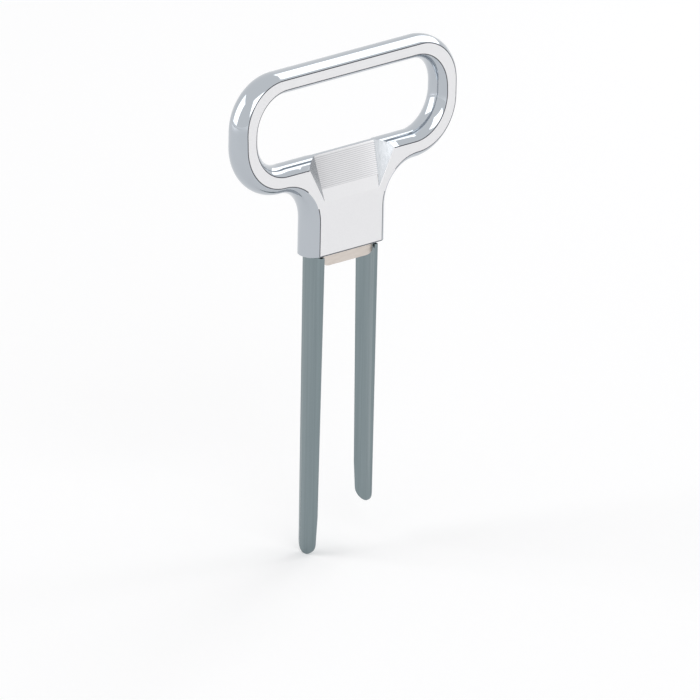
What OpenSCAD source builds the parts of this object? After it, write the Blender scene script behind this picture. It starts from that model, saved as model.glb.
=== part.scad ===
// Two-prong cork puller: a die-cast loop handle with two spring-steel prongs.
// Millimetres. +Z is up, +X runs along the loop, and the flat faces look along -Y and +Y.
// The origin is the middle of the stem's underside, where the two prongs leave the handle.

/* [Handle] */
// Overall width of the loop, across its rounded ends
loop_w = 68; // [62:0.1:74]
// Height of the handle, from the stem's underside to the top of the loop
handle_h = 46.4; // [44:0.1:52]
// Width of the stem across its rounded sides
stem_w = 24; // [22.5:0.1:26]
// Thickness of the stem, over its two flat faces
stem_t = 7.2; // [6.8:0.1:7.6]
// Thickness at the top of the loop, where the two faces have drawn in
top_t = 6; // [5.2:0.1:6.8]
// Height above the underside at which the faces begin to draw in
fold_z = 13.3; // [11:0.1:15]
// Radius of the rounding between the two faces, all round the handle
edge_r = 3.9; // [3.85:0.01:4.2]
// Outer radius of the loop's lower corners, which also sets the hollows between the loop and the stem
lobe_r = 13.4; // [12.6:0.1:14]
// Height of the centre of the loop's lower corners
lobe_z = 30.4; // [30:0.1:31.2]
// Outer radius of the loop's upper corners
corner_r = 12.6; // [11.5:0.1:12.7]

/* [Finger opening] */
// Height of the opening's floor above the underside
opening_z = 23.8; // [23.5:0.1:25]
// Height of the bar above the opening
top_bar_h = 5.4; // [4.8:0.1:6.2]
// Width of the bar at each end of the opening
end_bar_w = 6.2; // [5.4:0.1:7]
// Radius of the opening's lower corners
opening_low_r = 8; // [7.4:0.1:8.8]
// Radius of the opening's upper corners
opening_top_r = 7.8; // [7:0.1:8.4]

/* [Thumb recess] */
// Width of the recess's floor along the fold
recess_low_w = 16.8; // [15:0.1:17.4]
// Width of the recess's floor at the ridge
recess_top_w = 18.4; // [17:0.1:20]
// Width of the recess where it breaks out of the face into the opening
recess_mouth_w = 26.2; // [23:0.1:28]
// Thickness of the ridge that is left between the two recesses
ridge_t = 1; // [0.8:0.1:2]
// Number of ribs across the floor
rib_count = 17; // [8:1:20]
// Distance from one rib to the next, up the floor
rib_pitch = 0.46; // [0.4:0.01:0.5]
// Height that each rib stands out of the floor
rib_h = 0.16; // [0.1:0.01:0.2]
// Plain stretch between the ridge and the first rib
rib_margin = 0.3; // [0.2:0.05:0.6]

/* [Prongs] */
// Length of the longer prong below the handle
long_l = 72.5; // [66:0.5:85]
// Length of the shorter prong below the handle
short_l = 63.5; // [50:0.5:65]
// Radius of the circle that the prongs' outer faces lie on
prong_r = 9.3; // [9:0.05:9.5]
// Thickness of the spring steel
prong_t = 0.9; // [0.7:0.05:1]
// Width of a prong where it leaves the handle
prong_root_w = 6.4; // [5.8:0.1:7]
// Width of a prong just above its round tip
prong_tip_w = 5.2; // [4.5:0.1:5.6]
// Length of the ground bevel on the inside of the tip
bevel_l = 9; // [6:0.5:12]
// Thickness that the bevel leaves at the very tip
tip_t = 0.4; // [0.3:0.05:0.6]
// Gap between a prong's shoulders and the stem's underside
shoulder_gap = 0.5; // [0.4:0.05:0.8]

/* [Tangs and pins] */
// Width of the tang inside the handle
tang_w = 4.4; // [3.6:0.1:4.6]
// Outer radius of the eye at the top of the tang
eye_r = 1.75; // [1.5:0.05:1.85]
// Diameter of the pin through the eye
pin_d = 1.6; // [1.4:0.05:1.8]
// Radial running clearance of the eye on its pin
pin_clear = 0.05; // [0.02:0.01:0.1]
// Height of the pin above the stem's underside
pin_z = 5; // [4.5:0.1:6]
// Wall that the blind pin bore leaves in front
pin_wall = 0.7; // [0.5:0.1:1]
// Clearance round a tang inside its pocket
pocket_clear = 0.3; // [0.3:0.05:0.4]
// Extra room outside a tang, so that its prong can spread
spread_room = 0.4; // [0.3:0.05:0.6]

/* [Plug] */
// Height of the plug's head, below the stem
plug_h = 2.8; // [2:0.1:4]
// Thickness of the plug's head, from face to face
plug_t = 5.2; // [4:0.1:6]
// Clearance between the plug's head and the prongs
plug_clear = 0.4; // [0.35:0.05:0.6]
// Radius of the plug's lower corners
plug_r = 2.2; // [1:0.1:2.6]
// Width of the shank that is pressed into the stem
shank_w = 9; // [6:0.1:9.4]
// Thickness of the shank
shank_t = 4; // [3:0.1:4.6]
// Height of the shank
shank_h = 6; // [4:0.1:8]

/* [Hidden] */
$fn = 96;
over = 1;
half_w = loop_w / 2;
half_stem = stem_w / 2;

// Each outline below is a rail, and a round of edge_r along it makes the rounded edge.
lobe_x = half_w - lobe_r;
corner_x = half_w - corner_r;
corner_z = handle_h - corner_r;
stem_rail_x = half_stem - edge_r;
lobe_rail = lobe_r - edge_r;
corner_rail = corner_r - edge_r;
// Each hollow is a quarter turn, from the stem's side to the lowest point of the lower corner.
shoulder_rail = lobe_x - stem_rail_x;
shoulder_z = lobe_z - lobe_rail - shoulder_rail;

// The opening's rails lie edge_r outside its narrowest outline.
open_half = half_w - end_bar_w;
open_top = handle_h - top_bar_h;
open_low_x = open_half - opening_low_r;
open_low_z = opening_z + opening_low_r;
open_top_x = open_half - opening_top_r;
open_top_z = open_top - opening_top_r;

// The recess's floor drops from the fold in the face to the ridge, in the rounded edge of the opening.
open_round_z = opening_z - edge_r;
ridge_z = open_round_z + sqrt(pow(edge_r, 2) - pow(ridge_t / 2, 2));
floor_run = ridge_z - fold_z;
floor_drop = (stem_t - ridge_t) / 2;
floor_slope = floor_drop / floor_run;
floor_angle = atan(floor_slope);
floor_flare = (recess_top_w - recess_low_w) / 2 / floor_run;
// The recess's ends lean out from its floor, and meet the opening's rim at the mouth.
face_draw = (stem_t - top_t) / 2 / (handle_h - fold_z);
rim_y = stem_t / 2 - face_draw * (open_round_z + edge_r / 2 - fold_z);
mouth_z = open_round_z + sqrt(pow(edge_r, 2) - pow(rim_y, 2));
mouth_drop = (floor_slope - face_draw) * (mouth_z - fold_z);
wall_lean = (recess_mouth_w / 2 - recess_low_w / 2 - floor_flare * (mouth_z - fold_z)) / mouth_drop;

eye_x = prong_r - eye_r;
prong_inner_r = prong_r - prong_t;
pocket_in = eye_x - eye_r - pocket_clear;
pocket_out = prong_r + pocket_clear + spread_room;
pocket_w = tang_w + 2 * pocket_clear;
pocket_h = pin_z + eye_r + pocket_clear;
pin_l = stem_t - pin_wall;

// Turns a drawing in X and Y upright: its Y becomes Z, and it is centred on the handle's middle.
module upright(thickness) {
    rotate([90, 0, 0]) linear_extrude(thickness, center = true) children();
}

// A round along X, Y and Z rails of the handle.
module rod_x(x, z, l) {
    translate([x, 0, z]) rotate([0, 90, 0]) cylinder(r = edge_r, h = l);
}

module rod_z(x, z, l) {
    translate([x, 0, z]) cylinder(r = edge_r, h = l);
}

// A round swept a quarter turn about a point in the handle's plane.
module bend(x, z, rail, from) {
    translate([x, 0, z]) rotate([90, 0, 0]) rotate([0, 0, from])
        rotate_extrude(angle = 90) translate([rail, 0]) circle(r = edge_r);
}

module both_sides() {
    children();
    mirror([1, 0, 0]) children();
}

// The area inside the outer rails.
module outer_core() {
    side = lobe_x + lobe_rail;
    difference() {
        union() {
            translate([-corner_x, lobe_z]) square([2 * corner_x, corner_z + corner_rail - lobe_z]);
            translate([-side, lobe_z]) square([2 * side, corner_z - lobe_z]);
            both_sides() {
                translate([corner_x, corner_z]) circle(r = corner_rail);
                translate([lobe_x, lobe_z]) circle(r = lobe_rail);
            }
            translate([-lobe_x, -over]) square([2 * lobe_x, lobe_z + over]);
        }
        both_sides() {
            translate([lobe_x, shoulder_z]) circle(r = shoulder_rail);
            translate([stem_rail_x, -2 * over]) square([shoulder_rail + over, shoulder_z + 2 * over]);
        }
    }
}

module outer_rounds() {
    both_sides() {
        rod_z(stem_rail_x, -over, shoulder_z + over);
        bend(lobe_x, shoulder_z, shoulder_rail, 90);
        bend(lobe_x, lobe_z, lobe_rail, -90);
        rod_z(lobe_x + lobe_rail, lobe_z, corner_z - lobe_z);
        bend(corner_x, corner_z, corner_rail, 0);
    }
    rod_x(-corner_x, corner_z + corner_rail, 2 * corner_x);
}

// The finger opening, with its walls rounded inwards.
module opening() {
    low_rail = opening_low_r + edge_r;
    top_rail = opening_top_r + edge_r;
    side = open_half + edge_r;
    difference() {
        upright(4 * edge_r) {
            translate([-open_low_x, opening_z - edge_r])
                square([2 * open_low_x, open_low_z - opening_z + edge_r]);
            translate([-side, open_low_z]) square([2 * side, open_top_z - open_low_z]);
            translate([-open_top_x, open_top_z])
                square([2 * open_top_x, open_top + edge_r - open_top_z]);
            both_sides() {
                translate([open_low_x, open_low_z]) circle(r = low_rail);
                translate([open_top_x, open_top_z]) circle(r = top_rail);
            }
        }
        rod_x(-open_low_x, opening_z - edge_r, 2 * open_low_x);
        rod_x(-open_top_x, open_top + edge_r, 2 * open_top_x);
        both_sides() {
            bend(open_low_x, open_low_z, low_rail, -90);
            bend(open_top_x, open_top_z, top_rail, 0);
            rod_z(side, open_low_z, open_top_z - open_low_z);
        }
    }
}

// The handle seen from its end: parallel over the stem, then drawn in towards the top.
module side_profile() {
    top = handle_h + over;
    top_half = stem_t / 2 - face_draw * (top - fold_z);
    rotate([90, 0, 90]) linear_extrude(loop_w + 2 * over, center = true)
        polygon([[-stem_t / 2, 0], [stem_t / 2, 0], [stem_t / 2, fold_z],
                 [top_half, top], [-top_half, top], [-stem_t / 2, fold_z]]);
}

// A point in the handle's side view: so far down the recess's floor from the ridge, and so far out of it.
function on_floor(down, out) = [
    -ridge_t / 2 - down * sin(floor_angle) - out * cos(floor_angle),
    ridge_z - down * cos(floor_angle) + out * sin(floor_angle)];

function rib(i) = [
    on_floor(rib_margin + rib_pitch * i, 0),
    on_floor(rib_margin + rib_pitch * i + rib_h, rib_h),
    on_floor(rib_margin + rib_pitch * i + 2 * rib_h, 0)];

// What the recess takes off the front face: a wedge with a ribbed floor and leaning ends.
module recess() {
    deep = stem_t / 2;
    top_z = ridge_z + over;
    low_half = recess_low_w / 2 - floor_flare * over - wall_lean * (deep + floor_slope * over);
    top_half = recess_top_w / 2 + floor_flare * over - wall_lean * (ridge_t / 2 - floor_slope * over);
    out_lean = wall_lean * (deep + over);
    floor_l = floor_run / cos(floor_angle);
    intersection() {
        rotate([90, 0, 90]) linear_extrude(loop_w, center = true)
            polygon(concat([on_floor(-over, 0)], [for (i = [0 : rib_count - 1]) each rib(i)],
                           [on_floor(floor_l + over, 0), on_floor(floor_l + over, stem_t),
                            on_floor(-over, stem_t)]));
        polyhedron(
            points = [[-low_half, 0, fold_z - over], [low_half, 0, fold_z - over],
                      [top_half, 0, top_z], [-top_half, 0, top_z],
                      [-low_half - out_lean, -deep - over, fold_z - over],
                      [low_half + out_lean, -deep - over, fold_z - over],
                      [top_half + out_lean, -deep - over, top_z],
                      [-top_half - out_lean, -deep - over, top_z]],
            faces = [[0, 1, 2, 3], [4, 7, 6, 5], [0, 4, 5, 1], [1, 5, 6, 2], [2, 6, 7, 3], [3, 7, 4, 0]]);
    }
}

module handle() {
    color("gainsboro") difference() {
        intersection() {
            union() {
                upright(4 * edge_r) outer_core();
                outer_rounds();
            }
            side_profile();
        }
        opening();
        recess();
        mirror([0, 1, 0]) recess();
        both_sides() {
            translate([pocket_in, -pocket_w / 2, -over])
                cube([pocket_out - pocket_in, pocket_w, pocket_h + over]);
            pin(over);
        }
        translate([-shank_w / 2, -shank_t / 2, -over])
            cube([shank_w, shank_t, shank_h + pocket_clear + over]);
    }
}

// The pin stops short of the front face and ends flush with the rear one.
module pin(extra = 0) {
    translate([eye_x, stem_t / 2 + extra, pin_z]) rotate([90, 0, 0])
        cylinder(d = pin_d, h = pin_l + extra);
}

module tang_pins() {
    color("silver") both_sides() pin();
}

module plug() {
    head_r = prong_inner_r - plug_clear;
    color("silver") {
        intersection() {
            translate([0, 0, -plug_h]) cylinder(r = head_r, h = plug_h);
            upright(plug_t) {
                translate([-head_r + plug_r, -plug_h]) square([2 * (head_r - plug_r), plug_h]);
                translate([-head_r, plug_r - plug_h]) square([2 * head_r, plug_h - plug_r]);
                both_sides() translate([head_r - plug_r, plug_r - plug_h]) circle(r = plug_r);
            }
        }
        translate([-shank_w / 2, -shank_t / 2, 0]) cube([shank_w, shank_t, shank_h]);
    }
}

// The blade's outline from the side: a long taper with a round end.
module blade_outline(l) {
    tip_r = prong_tip_w / 2;
    polygon([[-prong_root_w / 2, -shoulder_gap], [prong_root_w / 2, -shoulder_gap],
             [tip_r, tip_r - l], [-tip_r, tip_r - l]]);
    translate([0, tip_r - l]) circle(r = tip_r);
    translate([-tang_w / 2, -2 * shoulder_gap]) square([tang_w, pin_z + 2 * shoulder_gap]);
}

// A curved tongue on the +X side, with its eye on the pin.
module prong(l) {
    color("lightsteelblue") difference() {
        union() {
            intersection() {
                difference() {
                    translate([0, 0, -l]) cylinder(r = prong_r, h = l + pin_z);
                    translate([0, 0, -l - over]) cylinder(r = prong_inner_r, h = l + pin_z + 2 * over);
                }
                rotate([90, 0, 90]) linear_extrude(prong_r + over) blade_outline(l);
            }
            translate([eye_x, tang_w / 2, pin_z]) rotate([90, 0, 0]) cylinder(r = eye_r, h = tang_w);
        }
        translate([eye_x, tang_w, pin_z]) rotate([90, 0, 0])
            cylinder(d = pin_d + 2 * pin_clear, h = 2 * tang_w);
        translate([0, 0, -l])
            cylinder(r1 = prong_r - tip_t, r2 = prong_inner_r - (prong_t - tip_t) / bevel_l, h = bevel_l + over);
    }
}

module prong_long() {
    mirror([1, 0, 0]) prong(long_l);
}

module prong_short() {
    prong(short_l);
}

handle();
plug();
tang_pins();
prong_long();
prong_short();
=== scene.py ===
import math

import bmesh
import bpy
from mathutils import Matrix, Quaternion, Vector


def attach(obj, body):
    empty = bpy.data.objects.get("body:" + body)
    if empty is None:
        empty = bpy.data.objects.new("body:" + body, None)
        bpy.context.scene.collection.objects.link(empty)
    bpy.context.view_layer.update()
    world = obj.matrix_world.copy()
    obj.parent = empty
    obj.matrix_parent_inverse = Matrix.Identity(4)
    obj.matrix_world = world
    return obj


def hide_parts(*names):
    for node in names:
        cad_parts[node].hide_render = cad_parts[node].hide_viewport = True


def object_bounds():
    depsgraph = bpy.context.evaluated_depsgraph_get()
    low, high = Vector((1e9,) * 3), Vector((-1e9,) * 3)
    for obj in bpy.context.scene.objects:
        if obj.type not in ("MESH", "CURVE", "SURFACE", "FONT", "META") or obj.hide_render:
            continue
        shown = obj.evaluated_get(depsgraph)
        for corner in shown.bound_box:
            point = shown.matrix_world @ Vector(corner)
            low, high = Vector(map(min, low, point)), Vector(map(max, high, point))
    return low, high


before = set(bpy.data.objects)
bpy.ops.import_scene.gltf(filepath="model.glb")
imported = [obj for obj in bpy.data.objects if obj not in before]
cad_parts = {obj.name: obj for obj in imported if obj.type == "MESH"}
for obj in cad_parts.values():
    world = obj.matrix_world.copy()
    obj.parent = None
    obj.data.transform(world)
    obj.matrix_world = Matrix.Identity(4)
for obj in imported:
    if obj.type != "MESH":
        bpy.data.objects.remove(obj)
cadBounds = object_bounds()
mm = 0.001
hair = 0.001  # millimetres: places closer than this are one place

# Every piece is modelled in millimetres and brought to metres at its end.


def deselectObjects():
    bpy.ops.object.select_all(action="DESELECT")


def edit(piece):
    deselectObjects()
    piece.select_set(True)
    bpy.context.view_layer.objects.active = piece
    bpy.ops.object.mode_set(mode="EDIT")
    bpy.ops.mesh.select_mode(type="VERT")
    bpy.ops.mesh.select_all(action="DESELECT")


def leaveEdit():
    bpy.ops.object.mode_set(mode="OBJECT")


def pick(kind, test):
    # in edit mode: selects just the vertices, edges or faces that pass the test
    piece = bpy.context.edit_object
    bpy.ops.mesh.select_mode(type=kind)
    bpy.ops.mesh.select_all(action="DESELECT")
    mesh = bmesh.from_edit_mesh(piece.data)
    parts = {"VERT": mesh.verts, "EDGE": mesh.edges, "FACE": mesh.faces}[kind]
    for part in parts:
        if test(part):
            part.select_set(True)
    mesh.select_flush_mode()
    bmesh.update_edit_mesh(piece.data)


def apply(piece, kind, **settings):
    deselectObjects()
    piece.select_set(True)
    bpy.context.view_layer.objects.active = piece
    modifier = piece.modifiers.new(kind.title(), kind)
    for key, value in settings.items():
        setattr(modifier, key, value)
    bpy.ops.object.modifier_apply(modifier=modifier.name)


def carve(piece, cutter, operation="DIFFERENCE"):
    apply(piece, "BOOLEAN", object=cutter, operation=operation, solver="EXACT", material_mode="TRANSFER")
    bpy.data.objects.remove(cutter)


def block(low, high):
    # a cutter between two corners
    low, high = Vector(low), Vector(high)
    bpy.ops.mesh.primitive_cube_add(size=1, location=(low + high) / 2)
    cutter = bpy.context.object
    cutter.scale = high - low
    bpy.ops.object.transform_apply(location=True, rotation=True, scale=True)
    return cutter


def rod(centre, radius, length):
    # a round cutter or pin along Y
    bpy.ops.mesh.primitive_cylinder_add(vertices=64, radius=radius, depth=length, location=centre,
                                        rotation=(math.radians(90), 0, 0))
    bpy.ops.object.transform_apply(location=True, rotation=True, scale=True)
    return bpy.context.object


def toMetres(piece):
    edit(piece)
    bpy.ops.mesh.select_all(action="SELECT")
    bpy.ops.transform.resize(value=(mm, mm, mm), center_override=(0, 0, 0))
    leaveEdit()


def smooth(piece, degrees):
    deselectObjects()
    piece.select_set(True)
    bpy.context.view_layer.objects.active = piece
    bpy.ops.object.shade_smooth_by_angle(angle=math.radians(degrees))


grainLook = {"detail": 4.0, "bump": 0.3}  # shared by all the finishes

finishes = {
    "brightPlating": {  # the rounded sides; the large darker patches of its grain are painted reflection
        "colour": (0.50, 0.53, 0.565, 1), "tarnishAndPaintedShade": (0.44, 0.475, 0.515, 1), "roughness": (0.03, 0.07),
        "grainScale": 60.0, "stretch": (1, 1, 1), "grainHeight": 0.00001},
    "satinPlating": {  # the flat faces and the thumb recesses
        "colour": (0.84, 0.84, 0.852, 1), "tarnishAndPaintedShade": (0.80, 0.80, 0.815, 1), "roughness": (0.42, 0.5),
        "grainScale": 2600.0, "stretch": (1, 1, 1), "grainHeight": 0.0000004, "metallic": 0.45},
    "facetPaintedShade": {  # the hatched ends of the thumb recesses, darkened as painted shade
        "colour": (0.44, 0.455, 0.475, 1), "tarnishAndPaintedShade": (0.33, 0.345, 0.365, 1), "roughness": (0.18, 0.28),
        "grainScale": 1800.0, "stretch": (1, 1, 0.2), "grainHeight": 0.000015},
    "groovePaintedShade": {  # between the ribs, darkened as painted shade in the grooves
        "colour": (0.67, 0.67, 0.685, 1), "tarnishAndPaintedShade": (0.60, 0.60, 0.62, 1), "roughness": (0.45, 0.55),
        "grainScale": 2600.0, "stretch": (1, 1, 1), "grainHeight": 0.0000004, "metallic": 0.45},
    "warmNickel": {  # the plug under the stem, drawn from side to side
        "colour": (0.74, 0.68, 0.63, 1), "tarnishAndPaintedShade": (0.60, 0.54, 0.49, 1), "roughness": (0.28, 0.42),
        "grainScale": 1500.0, "stretch": (0.25, 1, 1), "grainHeight": 0.000006, "metallic": 0.75},
    "rimPaintedReflection": {  # the narrow step where the satin stops, with a painted dark reflection drawn on it as a dark line
        "colour": (0.10, 0.105, 0.12, 1), "tarnishAndPaintedShade": (0.05, 0.055, 0.07, 1), "roughness": (0.25, 0.4),
        "grainScale": 900.0, "stretch": (1, 1, 1), "grainHeight": 0.000002},
    "castZinc": {  # inside the pockets
        "colour": (0.42, 0.43, 0.45, 1), "tarnishAndPaintedShade": (0.30, 0.31, 0.33, 1), "roughness": (0.5, 0.65),
        "grainScale": 700.0, "stretch": (1, 1, 1), "grainHeight": 0.00003},
    "springSteel": {  # drawn lengthwise along the prongs, then polished
        "colour": (0.26, 0.31, 0.325, 1), "tarnishAndPaintedShade": (0.18, 0.225, 0.24, 1), "roughness": (0.08, 0.18),
        "grainScale": 1500.0, "stretch": (1, 1, 0.02), "grainHeight": 0.000008},
    "groundSteel": {  # the pin ends
        "colour": (0.60, 0.61, 0.63, 1), "tarnishAndPaintedShade": (0.48, 0.49, 0.51, 1), "roughness": (0.25, 0.4),
        "grainScale": 1200.0, "stretch": (1, 1, 0.1), "grainHeight": 0.00001},
}


def addNode(tree, kind, **settings):
    node = tree.nodes.new(kind)
    for key, value in settings.items():
        if key in node.inputs:
            node.inputs[key].default_value = value
        else:
            setattr(node, key, value)
    return node


def emptyMaterial(name):
    material = bpy.data.materials.new(name)
    material.use_nodes = True
    material.node_tree.nodes.clear()
    return material


def metalFinish(name, look):
    # a fine grain moves the colour, the gloss and the surface a little; on some finishes its darker colour is
    # painted shade or reflection, as noted there
    material = emptyMaterial(name)
    tree = material.node_tree
    place = addNode(tree, "ShaderNodeTexCoord")
    stretch = addNode(tree, "ShaderNodeMapping", Scale=look["stretch"])
    tree.links.new(place.outputs["Object"], stretch.inputs["Vector"])
    grain = addNode(tree, "ShaderNodeTexNoise", Scale=look["grainScale"], Detail=grainLook["detail"])
    tree.links.new(stretch.outputs["Vector"], grain.inputs["Vector"])
    tint = addNode(tree, "ShaderNodeMix", data_type="RGBA")
    tint.inputs[6].default_value = look["colour"]
    tint.inputs[7].default_value = look["tarnishAndPaintedShade"]
    tree.links.new(grain.outputs["Fac"], tint.inputs[0])
    gloss = addNode(tree, "ShaderNodeMapRange")
    gloss.inputs["To Min"].default_value, gloss.inputs["To Max"].default_value = look["roughness"]
    tree.links.new(grain.outputs["Fac"], gloss.inputs["Value"])
    bump = addNode(tree, "ShaderNodeBump", Strength=grainLook["bump"], Distance=look["grainHeight"])
    tree.links.new(grain.outputs["Fac"], bump.inputs["Height"])
    shader = addNode(tree, "ShaderNodeBsdfPrincipled", Metallic=look.get("metallic", 1.0))
    tree.links.new(tint.outputs[2], shader.inputs["Base Color"])
    tree.links.new(gloss.outputs["Result"], shader.inputs["Roughness"])
    tree.links.new(bump.outputs["Normal"], shader.inputs["Normal"])
    out = addNode(tree, "ShaderNodeOutputMaterial")
    tree.links.new(shader.outputs["BSDF"], out.inputs["Surface"])
    return material


metals = {name: metalFinish(name, look) for name, look in finishes.items()}
print("metal finishes:", len(metals))


def wear(piece, *names):
    piece.data.materials.clear()
    for name in names:
        piece.data.materials.append(metals[name])


handleShape = {
    "stemWidth": 24.0, "stemThickness": 7.2, "loopWidth": 68.0, "height": 46.4,
    "topThickness": 6.0, "foldHeight": 13.3,  # the faces draw in above the fold
    "edgeRound": 3.9, "roundSegments": 96, "turnSteps": 24,
    "lobeRadius": 13.4, "lobeHeight": 30.4, "cornerRadius": 12.6,
    "openingFloor": 23.8, "topBar": 5.4, "endBar": 6.2, "openingLowRadius": 8.0, "openingTopRadius": 7.8,
    "rimWidth": 0.22, "rimDepth": 0.06, "footRim": 0.12,  # the narrow broken edges of the flats
    "smoothAngle": 40, "creaseAngle": 0.5, "normalWeight": 80,
}
recessShape = {
    "lowWidth": 16.8, "topWidth": 18.4, "mouthWidth": 26.2, "ridge": 1.0,
    "ribs": 17, "ribPitch": 0.46, "ribHalf": 0.16, "ribRise": 0.08, "ribMargin": 0.3,  # crests rubbed down
    "overrun": 0.05, "cutReach": 40, "cutRise": 8, "past": 1,  # how far the cutter goes beyond the metal
    "plainMargin": 0.5, "plainFrom": 12, "plainTo": 28,  # where the rims beside the recess stay satin, without the painted dark reflection line
}
pocketShape = {
    "from": 5.5, "to": 10.0, "width": 5.0, "height": 7.05,  # for each tang
    "shankWidth": 9.0, "shankThickness": 4.0, "shankHeight": 6.3,
    "pinX": 7.55, "pinZ": 5.0, "pinRadius": 0.8, "pinFront": -2.9,
    "boreEnd": 5.0, "below": 1, "pinPlay": 0.02, "pinChamfer": 0.1,
}


def halfRound(name, x, z, lying):
    # an arc of the edge's round, facing away from the metal
    bpy.ops.mesh.primitive_circle_add(
        vertices=handleShape["roundSegments"], radius=handleShape["edgeRound"], location=(x, 0, z),
        rotation=(0, math.radians(90), 0) if lying else (0, 0, 0))
    piece = bpy.context.object
    piece.name = name
    bpy.ops.object.transform_apply(location=True, rotation=True, scale=True)
    edit(piece)
    pick("VERT", lambda v: (v.co.z < z - hair) if lying else (v.co.x < x - hair))
    bpy.ops.mesh.delete(type="VERT")
    bpy.ops.mesh.select_all(action="SELECT")
    return piece


def run(x, z):
    bpy.ops.mesh.extrude_region_move(TRANSFORM_OT_translate={"value": (x, 0, z)})


def quarterTurn(x, z, hollow=False):
    bpy.ops.mesh.spin(steps=handleShape["turnSteps"], angle=math.radians(90), center=(x, 0, z),
                      axis=(0, -1 if hollow else 1, 0))


def sweepOuterEdge(h):
    half = h["loopWidth"] / 2
    lobeX, cornerX = half - h["lobeRadius"], half - h["cornerRadius"]
    cornerZ = h["height"] - h["cornerRadius"]
    stemRail = h["stemWidth"] / 2 - h["edgeRound"]
    hollowZ = h["lobeHeight"] - (h["lobeRadius"] - h["edgeRound"]) - (lobeX - stemRail)
    piece = halfRound("handleShell", stemRail, h["footRim"], lying=False)
    run(0, hollowZ - h["footRim"])
    quarterTurn(lobeX, hollowZ, hollow=True)
    quarterTurn(lobeX, h["lobeHeight"])
    run(0, cornerZ - h["lobeHeight"])
    quarterTurn(cornerX, cornerZ)
    run(-cornerX, 0)
    leaveEdit()
    return piece


def sweepOpeningEdge(h):
    openHalf = h["loopWidth"] / 2 - h["endBar"]
    lowX, lowZ = openHalf - h["openingLowRadius"], h["openingFloor"] + h["openingLowRadius"]
    topX = openHalf - h["openingTopRadius"]
    topZ = h["height"] - h["topBar"] - h["openingTopRadius"]
    piece = halfRound("openingEdge", 0, h["openingFloor"] - h["edgeRound"], lying=True)
    run(lowX, 0)
    quarterTurn(lowX, lowZ)
    run(0, topZ - lowZ)
    quarterTurn(topX, topZ)
    run(-topX, 0)
    leaveEdit()
    return piece


def closeFaces(h, faceY, faceDraw):
    fold, foot = h["foldHeight"], h["footRim"]

    def onTaper(co, side):
        return co.z > fold - hair and abs(side * co.y + faceDraw * (co.z - fold) - faceY) < 2 * hair

    def onPlate(co, side):
        return co.z < fold + hair and abs(side * co.y - faceY) < 2 * hair

    for side in (-1, 1):
        for level in (fold, foot):  # the fold and the foot are first drawn across each face
            pick("VERT", lambda v: abs(v.co.z - level) < hair and abs(v.co.y - side * faceY) < hair)
            bpy.ops.mesh.edge_face_add()
    for side in (-1, 1):
        pick("EDGE", lambda edge: len(edge.link_faces) < 2 and all(onTaper(v.co, side) for v in edge.verts))
        bpy.ops.mesh.fill()
        pick("EDGE", lambda edge: len(edge.link_faces) < 2 and all(onPlate(v.co, side) for v in edge.verts))
        bpy.ops.mesh.edge_face_add()
    pick("EDGE", lambda edge: len(edge.link_faces) < 2 and all(abs(v.co.z - foot) < hair for v in edge.verts))
    bpy.ops.mesh.edge_face_add()
    bpy.ops.mesh.select_all(action="SELECT")
    bpy.ops.mesh.normals_make_consistent(inside=False)
    bpy.ops.mesh.dissolve_limited(angle_limit=math.radians(0.05))


def recessCutter(h, r, side):
    # one profile of the ribbed floor, run across the stem and cut off along its leaning ends
    openRound = h["openingFloor"] - h["edgeRound"]
    faceY = h["stemThickness"] / 2 - h["rimDepth"]
    ridgeZ = openRound + math.sqrt(h["edgeRound"] ** 2 - (r["ridge"] / 2) ** 2)
    slope = (faceY - r["ridge"] / 2) / (ridgeZ - h["foldHeight"] + r["overrun"])
    down = math.atan(slope)
    flare = (r["topWidth"] - r["lowWidth"]) / 2 / (ridgeZ - h["foldHeight"])
    draw = (h["stemThickness"] - h["topThickness"]) / 2 / (h["height"] - h["foldHeight"])
    rimY = faceY - draw * (openRound + h["edgeRound"] / 2 - h["foldHeight"])
    mouthRise = openRound + math.sqrt(h["edgeRound"] ** 2 - rimY ** 2) - h["foldHeight"]
    lean = (r["mouthWidth"] / 2 - r["lowWidth"] / 2 - flare * mouthRise) / ((slope - draw) * mouthRise)
    floorLength = (ridgeZ - h["foldHeight"]) / math.cos(down)

    def onFloor(along, out):
        y = r["ridge"] / 2 + along * math.sin(down) + out * math.cos(down)
        return Vector((-r["cutReach"], side * y, ridgeZ - along * math.cos(down) + out * math.sin(down)))

    path = [onFloor(-r["past"], 0)]
    for i in range(r["ribs"]):
        start = r["ribMargin"] + r["ribPitch"] * i
        path += [onFloor(start, 0), onFloor(start + r["ribHalf"], r["ribRise"]),
                 onFloor(start + 2 * r["ribHalf"], 0)]
    path += [onFloor(floorLength + r["past"], 0), onFloor(floorLength + r["past"], r["cutRise"]),
             onFloor(-r["past"], r["cutRise"])]
    bpy.ops.mesh.primitive_plane_add(size=1, location=path[0])
    cutter = bpy.context.object
    bpy.ops.object.transform_apply(location=True, rotation=True, scale=True)
    edit(cutter)
    bpy.ops.mesh.select_all(action="SELECT")
    bpy.ops.mesh.merge(type="CENTER")
    for here, after in zip(path, path[1:]):
        bpy.ops.mesh.extrude_region_move(TRANSFORM_OT_translate={"value": after - here})
    bpy.ops.mesh.select_all(action="SELECT")
    bpy.ops.mesh.edge_face_add()
    bpy.ops.mesh.select_all(action="SELECT")
    bpy.ops.mesh.extrude_region_move(TRANSFORM_OT_translate={"value": (2 * r["cutReach"], 0, 0)})
    for end in (-1, 1):
        bpy.ops.mesh.select_all(action="SELECT")
        bpy.ops.mesh.bisect(plane_co=(end * r["lowWidth"] / 2, side * faceY, h["foldHeight"]),
                            plane_no=Vector((end, -side * lean, -(flare + lean * slope))).normalized(),
                            use_fill=True, clear_outer=True, threshold=0.0001)
    bpy.ops.mesh.select_all(action="SELECT")
    bpy.ops.mesh.normals_make_consistent(inside=False)
    leaveEdit()
    return cutter


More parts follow.
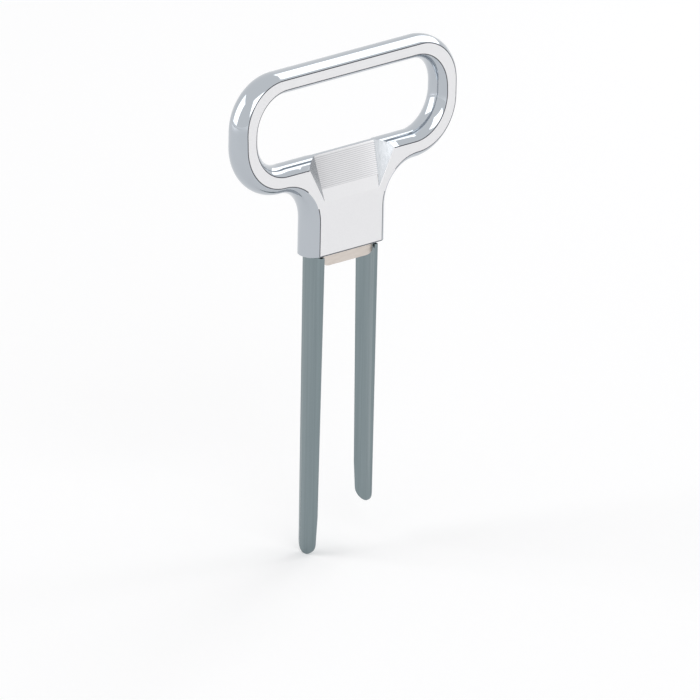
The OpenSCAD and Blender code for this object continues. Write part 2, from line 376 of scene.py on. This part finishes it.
def softenRims(shell, h, r):
    # each flat is pushed out to its real place, which leaves a narrow slope along its rim
    edit(shell)
    for side in (-1, 1):
        pick("FACE", lambda face: face.material_index == 1 and side * face.normal.y > 0.995)
        bpy.ops.mesh.inset(thickness=h["rimWidth"], depth=h["rimDepth"], use_even_offset=True)
    pick("FACE", lambda face: face.normal.z < -0.99 and face.calc_center_median().z < h["footRim"] + 0.01)
    bpy.ops.mesh.inset(thickness=h["footRim"], depth=h["footRim"], use_even_offset=True)
    leaveEdit()
    paintedRimSlot = shell.data.materials.find("rimPaintedReflection")
    for face in shell.data.polygons:  # the slopes get the painted dark reflection line, except round the recess
        besideRecess = (abs(face.center.x) < r["mouthWidth"] / 2 + r["plainMargin"]
                        and r["plainFrom"] < face.center.z < r["plainTo"])
        if face.material_index == 1 and abs(face.normal.y) < 0.99 and not besideRecess:
            face.material_index = paintedRimSlot


def makeHandle(h, r, p):
    shell = sweepOuterEdge(h)
    opening = sweepOpeningEdge(h)
    deselectObjects()
    opening.select_set(True)
    shell.select_set(True)
    bpy.context.view_layer.objects.active = shell
    bpy.ops.object.join()
    faceY = h["stemThickness"] / 2 - h["rimDepth"]
    faceDraw = (h["stemThickness"] - h["topThickness"]) / 2 / (h["height"] - h["foldHeight"])
    edit(shell)
    for side in (-1, 1):
        for normal in ((0, side, 0), (0, side, faceDraw)):
            bpy.ops.mesh.select_all(action="SELECT")
            bpy.ops.mesh.bisect(plane_co=(0, side * faceY, h["foldHeight"]), plane_no=normal,
                                clear_outer=True, threshold=0.0001)
    bpy.ops.mesh.select_all(action="SELECT")
    bpy.ops.mesh.remove_doubles(threshold=0.0005)
    leaveEdit()
    apply(shell, "MIRROR", merge_threshold=0.0005)
    edit(shell)
    closeFaces(h, faceY, faceDraw)
    leaveEdit()
    wear(shell, "brightPlating", "satinPlating", "rimPaintedReflection")
    for face in shell.data.polygons:  # the flat faces are satin, the rounds between them bright
        if abs(face.normal.y) > 0.995:
            face.material_index = 1
    for side in (-1, 1):
        recess = recessCutter(h, r, side)
        wear(recess, "satinPlating", "facetPaintedShade", "groovePaintedShade")
        grooveArea = (r["ribPitch"] - 2 * r["ribHalf"]) * r["mouthWidth"]
        for face in recess.data.polygons:
            # the leaning ends of the recess get the darker finish: painted shade
            if abs(face.normal.x) > 0.3:
                face.material_index = 1
            # the narrow grooves between the ribs get painted shade
            elif face.area < grooveArea and abs(face.normal.y) > 0.9:
                face.material_index = 2
        low, high = sorted((side * p["from"], side * p["to"]))
        pocket = block((low, -p["width"] / 2, -p["below"]), (high, p["width"] / 2, p["height"]))
        bore = rod((side * p["pinX"], (p["pinFront"] + p["boreEnd"]) / 2, p["pinZ"]), p["pinRadius"],
                   p["boreEnd"] - p["pinFront"])
        for cutter in (pocket, bore):
            wear(cutter, "castZinc")
        for cutter in (recess, pocket, bore):
            carve(shell, cutter)
    shankPocket = block((-p["shankWidth"] / 2, -p["shankThickness"] / 2, -p["below"]),
                        (p["shankWidth"] / 2, p["shankThickness"] / 2, p["shankHeight"]))
    wear(shankPocket, "castZinc")
    carve(shell, shankPocket)
    softenRims(shell, h, r)
    toMetres(shell)
    smooth(shell, h["smoothAngle"])
    edit(shell)  # creases between two satin faces stay crisp: the fold, the recess's floor and its ribs
    crease = math.radians(h["creaseAngle"])
    pick("EDGE", lambda edge: len(edge.link_faces) == 2 and edge.calc_face_angle(0) > crease
         and all(face.material_index == 1 for face in edge.link_faces))
    bpy.ops.mesh.mark_sharp()
    leaveEdit()
    apply(shell, "WEIGHTED_NORMAL", mode="FACE_AREA", weight=h["normalWeight"], keep_sharp=True)
    print("handle shell:", len(shell.data.polygons), "faces")
    return shell


handleShell = makeHandle(handleShape, recessShape, pocketShape)
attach(handleShell, "handle")
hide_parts("handle")

plugShape = {
    "headRadius": 8.0, "headThickness": 5.2, "headHeight": 2.8, "cornerRadius": 2.2, "softEdge": 0.18,
    "shankWidth": 9.0, "shankThickness": 4.0, "shankHeight": 6.0,
    "cornerSegments": 16, "softSegments": 3, "smoothAngle": 25,
}


def makePlug(p):
    head = block((-p["headRadius"], -p["headThickness"] / 2, -p["headHeight"]),
                 (p["headRadius"], p["headThickness"] / 2, 0))
    head.name = "plugHead"
    edit(head)
    pick("EDGE", lambda edge: all(v.co.z < -1 and abs(v.co.x) > 1 for v in edge.verts)
         and abs(edge.verts[0].co.y - edge.verts[1].co.y) > 1)
    bpy.ops.mesh.bevel(offset=p["cornerRadius"], segments=p["cornerSegments"], affect="EDGES")
    leaveEdit()
    bpy.ops.mesh.primitive_cylinder_add(vertices=128, radius=p["headRadius"], depth=20)
    carve(head, bpy.context.object, "INTERSECT")
    carve(head, block((-p["shankWidth"] / 2, -p["shankThickness"] / 2, -1),
                      (p["shankWidth"] / 2, p["shankThickness"] / 2, p["shankHeight"])), "UNION")
    apply(head, "BEVEL", width=p["softEdge"], segments=p["softSegments"], limit_method="ANGLE",
          angle_limit=math.radians(30))
    wear(head, "warmNickel")
    toMetres(head)
    smooth(head, p["smoothAngle"])
    return head


def makePins(p):
    pins = []
    for side in (-1, 1):
        back = handleShape["stemThickness"] / 2
        pin = rod((side * p["pinX"], (p["pinFront"] + back) / 2, p["pinZ"]), p["pinRadius"] - p["pinPlay"],
                  back - p["pinFront"])
        edit(pin)
        pick("EDGE", lambda edge: edge.calc_face_angle(0) > math.radians(60))
        bpy.ops.mesh.bevel(offset=p["pinChamfer"], segments=3, affect="EDGES")
        leaveEdit()
        pins.append(pin)
    deselectObjects()
    for pin in pins:
        pin.select_set(True)
    bpy.context.view_layer.objects.active = pins[0]
    bpy.ops.object.join()
    pins[0].name = "tangPins"
    wear(pins[0], "groundSteel")
    toMetres(pins[0])
    smooth(pins[0], 40)
    return pins[0]


plugHead = makePlug(plugShape)
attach(plugHead, "handle")
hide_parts("plug")
tangPins = makePins(pocketShape)
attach(tangPins, "handle")
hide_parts("tang_pins")
print("plug and pins done")

prongShape = {
    "outerRadius": 9.3, "thickness": 0.9, "rootWidth": 6.4, "tipWidth": 5.2, "shoulderGap": 0.5,
    "longLength": 72.5, "shortLength": 63.5,
    "bevelLength": 9.0, "tipThickness": 0.4,  # ground on the inside of the tip
    "tangWidth": 4.4, "eyeRadius": 1.75, "boreRadius": 0.85,
    "softEdge": 0.14, "softSegments": 3, "facet": 2,  # degrees
    "stripSteps": 24, "tipVertices": 96, "cutFrom": 5, "cutDepth": 10, "tangOver": 3,
    "mergeBelow": 0.02, "flatWithin": 0.5, "smoothAngle": 25,
}


def tubeStrip(name, s, length):
    # a strip of the steel tube on the +X side, wider than the blade
    inner = s["outerRadius"] - s["thickness"]
    top = pocketShape["pinZ"]
    start = math.radians(-s["stripSteps"] / 2 * s["facet"])
    middle = inner + s["thickness"] / 2
    bpy.ops.mesh.primitive_plane_add(size=1, rotation=(math.radians(90), 0, start),
                                     location=(middle * math.cos(start), middle * math.sin(start),
                                               (top - length) / 2))
    strip = bpy.context.object
    strip.name = name
    strip.scale = (s["thickness"], length + top, 1)
    bpy.ops.object.transform_apply(location=True, rotation=True, scale=True)
    edit(strip)
    bpy.ops.mesh.select_all(action="SELECT")
    bpy.ops.mesh.spin(steps=s["stripSteps"], angle=math.radians(s["stripSteps"] * s["facet"]),
                      center=(0, 0, 0), axis=(0, 0, -1))
    pick("EDGE", lambda edge: len(edge.link_faces) < 2)
    bpy.ops.mesh.edge_face_add()
    bpy.ops.mesh.select_all(action="SELECT")
    bpy.ops.mesh.normals_make_consistent(inside=False)
    leaveEdit()
    return strip


def bladeCutter(s, length):
    # the outline: a round tip, a long taper, square shoulders and the tang, drawn out along X
    tip = s["tipWidth"] / 2
    shoulders = length - tip - s["shoulderGap"]
    bpy.ops.mesh.primitive_circle_add(vertices=s["tipVertices"], radius=tip,
                                      location=(s["cutFrom"], 0, tip - length),
                                      rotation=(0, math.radians(90), 0))
    cutter = bpy.context.object
    bpy.ops.object.transform_apply(location=True, rotation=True, scale=True)
    edit(cutter)
    pick("VERT", lambda v: v.co.z > tip - length + hair)
    bpy.ops.mesh.delete(type="VERT")
    pick("VERT", lambda v: len(v.link_edges) == 1)
    tang = pocketShape["pinZ"] + s["shoulderGap"] + s["tangOver"]
    for rise, width, before in ((shoulders, s["rootWidth"], s["tipWidth"]),
                                (0, s["tangWidth"], s["rootWidth"]),
                                (tang, s["tangWidth"], s["tangWidth"])):
        bpy.ops.mesh.extrude_region_move(TRANSFORM_OT_translate={"value": (0, 0, rise)})
        bpy.ops.transform.resize(value=(1, width / before, 1), center_override=(s["cutFrom"], 0, 0))
    bpy.ops.mesh.select_all(action="SELECT")
    bpy.ops.mesh.edge_face_add()
    bpy.ops.mesh.select_all(action="SELECT")
    bpy.ops.mesh.extrude_region_move(TRANSFORM_OT_translate={"value": (s["cutDepth"], 0, 0)})
    bpy.ops.mesh.select_all(action="SELECT")
    bpy.ops.mesh.normals_make_consistent(inside=False)
    leaveEdit()
    return cutter


def makeProng(name, s, length, side):
    inner = s["outerRadius"] - s["thickness"]
    eyeX, eyeZ = s["outerRadius"] - s["eyeRadius"], pocketShape["pinZ"]
    prong = tubeStrip(name, s, length)
    carve(prong, bladeCutter(s, length), "INTERSECT")
    fall = (s["thickness"] - s["tipThickness"]) / s["bevelLength"]
    bpy.ops.mesh.primitive_cone_add(
        vertices=360 // s["facet"], radius1=s["outerRadius"] - s["tipThickness"], radius2=inner - fall,
        depth=s["bevelLength"] + 1, location=(0, 0, (s["bevelLength"] + 1) / 2 - length))
    carve(prong, bpy.context.object)
    carve(prong, rod((eyeX, 0, eyeZ), s["eyeRadius"], s["tangWidth"]), "UNION")
    carve(prong, rod((eyeX, 0, eyeZ), s["boreRadius"], 3 * s["tangWidth"]))
    edit(prong)
    bpy.ops.mesh.select_all(action="SELECT")
    bpy.ops.mesh.remove_doubles(threshold=s["mergeBelow"])
    bpy.ops.mesh.dissolve_limited(angle_limit=math.radians(s["flatWithin"]))
    if side < 0:
        bpy.ops.transform.resize(value=(-1, 1, 1), center_override=(0, 0, 0))
    bpy.ops.mesh.normals_make_consistent(inside=False)
    leaveEdit()
    apply(prong, "BEVEL", width=s["softEdge"], segments=s["softSegments"], limit_method="ANGLE",
          angle_limit=math.radians(30))
    wear(prong, "springSteel")
    toMetres(prong)
    smooth(prong, s["smoothAngle"])
    return prong


for node, length, side in (("prong_long", prongShape["longLength"], -1),
                           ("prong_short", prongShape["shortLength"], 1)):
    blade = makeProng(node.replace("prong_", "blade_"), prongShape, length, side)
    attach(blade, node)
    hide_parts(node)
    print(node, "done:", len(blade.data.polygons), "faces")

studio = {
    "azimuth": -42.94, "elevation": 18.89, "roll": 1.1,  # degrees
    "distance": 6.0, "sensor": 36, "clipEnd": 20,
    "frameWidth": 0.16018,  # metres across the picture at the object
    "target": (-0.00003, -0.00394, -0.02415),
}

lights = {
    "floorSize": 12, "paper": (0.93, 0.93, 0.935, 1),
    "room": 1.0,  # the white room, as the eye and the metal see it
    "fill": 0.60,  # what the room gives to matt surfaces
    # lifts the floor to white for the eye and the metal, with its shadow kept, and more so
    # far from the boxes, where their light falls away
    "floorGlow": 0.10, "farGlow": 0.61, "glowFrom": 0.5, "glowTo": 3.2,
    # plain soft boxes: where each stands, its two sides in metres and its brightness
    "boxes": {
        "key": {"place": (-0.5, -1.5, 1.0), "sides": (1.2, 1.2), "shine": 1.9},
        "right": {"place": (1.1, 0.1, 0.8), "sides": (1.0, 1.0), "shine": 1.6},
        "left": {"place": (-0.9, 0.7, 0.5), "sides": (0.9, 1.0), "shine": 1.6},
    },
}


def seenRays(tree):
    # 1 for what the eye, bright metal or glass sees, 0 for the light that falls on matt surfaces
    rays = addNode(tree, "ShaderNodeLightPath")
    total = rays.outputs["Is Camera Ray"]
    for name in ("Is Glossy Ray", "Is Transmission Ray"):
        both = addNode(tree, "ShaderNodeMath", operation="ADD", use_clamp=True)
        tree.links.new(total, both.inputs[0])
        tree.links.new(rays.outputs[name], both.inputs[1])
        total = both.outputs[0]
    return total


def strengthFor(tree, unseen, seen, socket):
    span = addNode(tree, "ShaderNodeMapRange")
    span.inputs["To Min"].default_value = unseen
    span.inputs["To Max"].default_value = seen
    tree.links.new(seenRays(tree), span.inputs["Value"])
    tree.links.new(span.outputs["Result"], socket)


def makeFloor(l, z):
    bpy.ops.mesh.primitive_plane_add(size=l["floorSize"], location=(0, 0, z))
    floor = bpy.context.object
    floor.name = "studioFloor"
    material = emptyMaterial("palePaper")
    tree = material.node_tree
    paper = addNode(tree, "ShaderNodeBsdfDiffuse", Color=l["paper"])
    glow = addNode(tree, "ShaderNodeEmission", Color=(1, 1, 1, 1))
    spot = addNode(tree, "ShaderNodeTexCoord")
    away = addNode(tree, "ShaderNodeVectorMath", operation="LENGTH")
    tree.links.new(spot.outputs["Object"], away.inputs[0])
    fade = addNode(tree, "ShaderNodeMapRange")
    fade.inputs["From Min"].default_value, fade.inputs["From Max"].default_value = l["glowFrom"], l["glowTo"]
    fade.inputs["To Min"].default_value, fade.inputs["To Max"].default_value = l["floorGlow"], l["farGlow"]
    tree.links.new(away.outputs["Value"], fade.inputs["Value"])
    amount = addNode(tree, "ShaderNodeMath", operation="MULTIPLY")
    tree.links.new(fade.outputs["Result"], amount.inputs[0])
    tree.links.new(seenRays(tree), amount.inputs[1])
    tree.links.new(amount.outputs[0], glow.inputs["Strength"])
    both = addNode(tree, "ShaderNodeAddShader")
    tree.links.new(paper.outputs["BSDF"], both.inputs[0])
    tree.links.new(glow.outputs["Emission"], both.inputs[1])
    out = addNode(tree, "ShaderNodeOutputMaterial")
    tree.links.new(both.outputs["Shader"], out.inputs["Surface"])
    floor.data.materials.append(material)


def makeWorld(l):
    # the room is white to the eye and in metal, and gives matt surfaces a plain fill
    world = bpy.data.worlds.new("studioWorld")
    world.use_nodes = True
    tree = world.node_tree
    tree.nodes.clear()
    light = addNode(tree, "ShaderNodeBackground", Color=(1, 1, 1, 1))
    strengthFor(tree, l["fill"], l["room"], light.inputs["Strength"])
    out = addNode(tree, "ShaderNodeOutputWorld")
    tree.links.new(light.outputs["Background"], out.inputs["Surface"])
    return world


makeFloor(lights, cadBounds[0].z)
bpy.context.scene.world = makeWorld(lights)

for name, box in lights["boxes"].items():
    place = Vector(box["place"])
    bpy.ops.object.light_add(type="AREA", location=place)
    lamp = bpy.context.object
    lamp.name = name + "Box"
    lamp.data.shape = "RECTANGLE"
    lamp.data.size, lamp.data.size_y = box["sides"]
    lamp.data.energy = box["shine"] * math.pi * box["sides"][0] * box["sides"][1]  # watts for that brightness
    lamp.rotation_euler = (-place).to_track_quat("-Z", "Y").to_euler()
    lamp.visible_camera = False

azimuth, elevation = math.radians(studio["azimuth"]), math.radians(studio["elevation"])
back = Vector((math.sin(azimuth) * math.cos(elevation), -math.cos(azimuth) * math.cos(elevation),
               math.sin(elevation)))
bpy.ops.object.camera_add()
camera = bpy.context.object
camera.location = Vector(studio["target"]) + back * studio["distance"]
camera.rotation_mode = "QUATERNION"
camera.rotation_quaternion = (-back).to_track_quat("-Z", "Y") @ Quaternion(
    (0, 0, 1), math.radians(studio["roll"]))
camera.data.sensor_width = studio["sensor"]
camera.data.lens = studio["sensor"] * studio["distance"] / studio["frameWidth"]
camera.data.clip_end = studio["clipEnd"]
bpy.context.scene.camera = camera
bpy.context.scene.view_settings.view_transform = "Standard"
print("studio ready")
